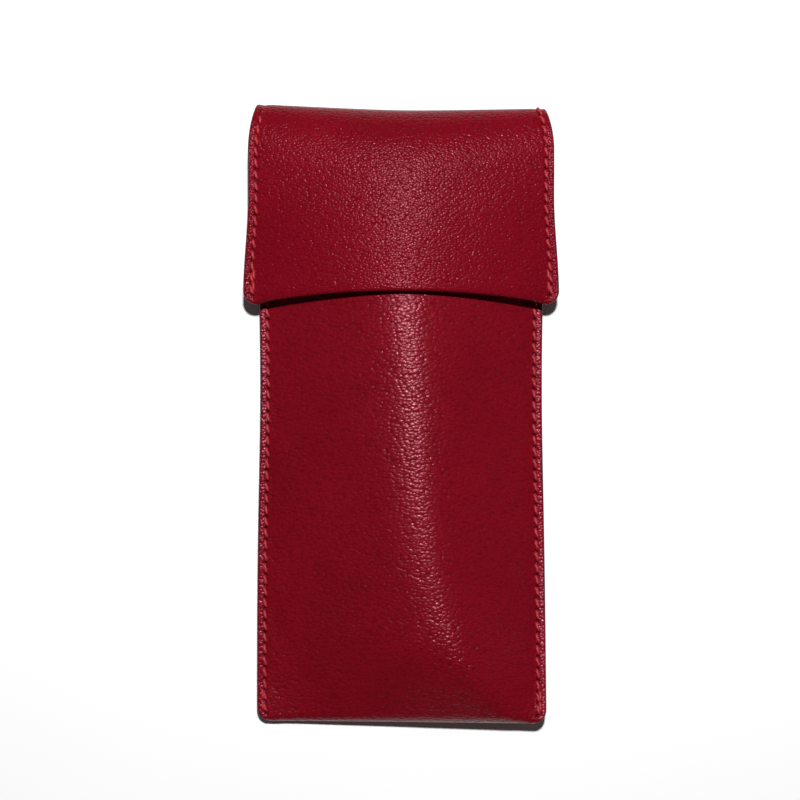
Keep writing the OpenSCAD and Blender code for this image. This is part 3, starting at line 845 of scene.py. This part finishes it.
TAIL_ROWS_Y = (TAIL_Y + STITCH_INSET, 71.0)
BRIDGE_STITCHES = 8       # stitches on each side between the tail and the split
SIDE_COLUMN = -30         # a column towards the tail's right side, to measure along
tail_centres = even_row(33.6)


def flap_back():
    v = side_columns(FOLD_HALF)
    points = tail_face(v)
    y = points[..., 1]
    border = np.minimum(side_distance(v, FOLD_HALF), run_length(points[len(v) // 2]))
    side_s = run_length(points[SIDE_COLUMN])
    across_row = side_distance(v, FOLD_HALF) - STITCH_INSET
    along = side_s[-1] - flap_pitch / 2 - (side_s + 0 * y)
    pressed, pierced = dent(across_row, along, 0.0, flap_pitch * (BRIDGE_STITCHES - 1), flap_pitch)
    for row_y in TAIL_ROWS_Y:
        more, holes = dent(y - row_y, points[..., 0], tail_centres[0], tail_centres[-1])
        flat = points[..., 2] < TAIL_Z + 0.3
        pressed, pierced = pressed + more * flat, pierced + holes * flat
    points = points - normals(points) * pressed[..., None]
    piece = sheet_mesh("flap_tail_leather", points, 0.0, FLAP_LEATHER_T, border, FLAP_MATERIALS,
                       cuts=(-1,), pierced=pierced)
    bend_back(piece)
    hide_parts("tail_leather")


def flap_back_facing():
    """The doubled leather's inner end, from inside the back of the mouth to the split."""
    v = side_columns(FOLD_HALF, step=1.2)
    depth = LEATHER_T + 2 * GLUE + LINING_T
    rows = []
    for y in np.linspace(FACING_Y, BACK_END_Y, 16):
        pad = pad_depth(v, y + 0 * v, below_facing(y))
        rows.append(np.stack([v * body_edge(y), y + 0 * v, back_z(v, y + 0 * v) + depth + pad], -1))
    fold = np.stack([fold_point(v, a + 0 * v) for a in np.linspace(FACING_ANGLE, SPLIT_ANGLE, 26)], 1)
    inner = fold - normals(fold) * (FLAP_LEATHER_T + GLUE)
    points = np.concatenate([np.stack(rows, 1), inner], axis=1)
    border = np.minimum(side_distance(v, FOLD_HALF), run_length(points[len(v) // 2]))
    piece = sheet_mesh("flap_tail_facing", points, 0.0, FLAP_LEATHER_T, border, FLAP_MATERIALS[:2],
                       cuts=(-1,))
    bend_back(piece)
    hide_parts("tail_facing")


def flap_threads():
    """The flap's two sides, their end stitches, the bridge's edges and the two rows that hold the tail."""
    for side, word in ((-1, "left"), (1, "right")):
        line, up = mirror(side_line, side), mirror(side_up, side)
        face = (line - up * DENT_T, up, ALONG_X, flap_centres, SLANT, STITCH_HALF)
        below = (line - up * (FLAP_THIN - 0.08), -up, ALONG_X, flap_centres, -SLANT, STITCH_HALF)
        piece = threads(f"flap_{word}_thread", [face, below], THREAD)
        bend_front(piece)
        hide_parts(f"flap_{word}_stitches")
    rows = []
    for side in (-1, 1):
        line, up = mirror(side_line, side), mirror(side_up, side)
        line = line - up * 0.05 - ALONG_X * side * TACK_SHIFT
        rows.append((line, up, ALONG_X, [lowest - 0.7, lowest - 3.9], SLANT * 0.3, TACK_HALF))
    piece = threads("flap_backtack_thread", rows, THREAD)
    bend_front(piece)
    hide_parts("flap_backtacks")
    v = np.array([0.99, 1.0, 1.01]) * (1 - STITCH_INSET / FOLD_HALF)
    back = tail_face(v)
    line, up = back[1], normals(back)[1]
    s = run_length(line)
    centres = s[-1] - flap_pitch * (np.arange(BRIDGE_STITCHES) + 0.5)
    sunk = line - up * DENT_T
    rows = [(mirror(sunk, side), mirror(up, side), ALONG_X, centres, SLANT, STITCH_HALF) for side in (-1, 1)]
    piece = threads("bridge_thread", rows, THREAD)
    bend_back(piece)
    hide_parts("bridge_stitches")
    rows = []
    x = np.linspace(-37, 37, 300)
    for row_y in TAIL_ROWS_Y:
        line = np.stack([x, row_y + 0 * x, TAIL_Z + DENT_T + 0 * x], -1)
        down = np.broadcast_to([0, 0, -1.0], line.shape)
        rows.append((line, down, ALONG_Y, tail_centres - x[0], ROW_SLANT, STITCH_HALF))
    piece = threads("tail_thread", rows, THREAD)
    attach(piece, "pouch")
    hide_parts("tail_stitches")


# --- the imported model's own pieces that stay ---
def dress(name, material):
    """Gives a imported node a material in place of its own."""
    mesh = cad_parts[name].data
    mesh.materials.clear()
    mesh.materials.append(material)


# --- where it lies, the light and the camera ---
FLASH_AT, FLASH_FAR = (0.022, 0.26, 0.80), 0.84     # the lamp, and about its distance from the case
CAMERA_AT = (-0.0003, 0.0038, 0.600)
VIEW_Z, VIEW_WIDTH = 0.010, 0.2187                  # how wide the view is, at this height above the table


def studio():
    """A white table, one small hard light above the case's top, a faint even light, and the camera."""
    bpy.ops.mesh.primitive_plane_add(size=3.0, location=(0, 0, 0))
    floor = bpy.context.object
    floor.name = "table_top"
    material, tree, shader = new_material("white_table")
    mottle = noise(tree, place(tree), 8.0, 3.0)
    white = mix_colour(tree, mottle, (0.89, 0.89, 0.89, 1), (0.92, 0.92, 0.92, 1))
    tree.links.new(white, shader.inputs["Base Color"])
    shader.inputs["Roughness"].default_value = 0.85
    shader.inputs["Specular IOR Level"].default_value = 0.1
    floor.data.materials.append(material)

    world = bpy.data.worlds.new("studio")
    bpy.context.scene.world = world
    world.use_nodes = True
    sky = world.node_tree.nodes["Background"]
    sky.inputs["Color"].default_value = (1, 1, 1, 1)
    sky.inputs["Strength"].default_value = 0.05

    lamp = bpy.data.lights.new("flash", "AREA")
    lamp.shape = "DISK"
    lamp.size = 0.055
    lamp.energy = 8.8
    flash = bpy.data.objects.new("flash", lamp)
    flash.location = FLASH_AT
    flash.rotation_euler = (-np.arctan2(FLASH_AT[1], FLASH_AT[2]), np.arctan2(FLASH_AT[0], FLASH_FAR), 0)
    bpy.context.scene.collection.objects.link(flash)

    view = bpy.data.cameras.new("camera")
    view.sensor_width = 36.0
    camera = bpy.data.objects.new("camera", view)
    view.lens = view.sensor_width * (CAMERA_AT[2] - VIEW_Z) / VIEW_WIDTH
    camera.location = CAMERA_AT
    bpy.context.scene.collection.objects.link(camera)
    bpy.context.scene.camera = camera
    bpy.context.scene.view_settings.view_transform = "Standard"


pouch = body_leather()
seam_threads()
body_backtacks()
lining = body_lining()
wadding()
mouth_binding()
flap_front()
flap_back()
flap_back_facing()
flap_threads()
dress("flap_board", BOARD)
dress("flap_magnet", NICKEL)
dress("body_magnet", NICKEL)
studio()
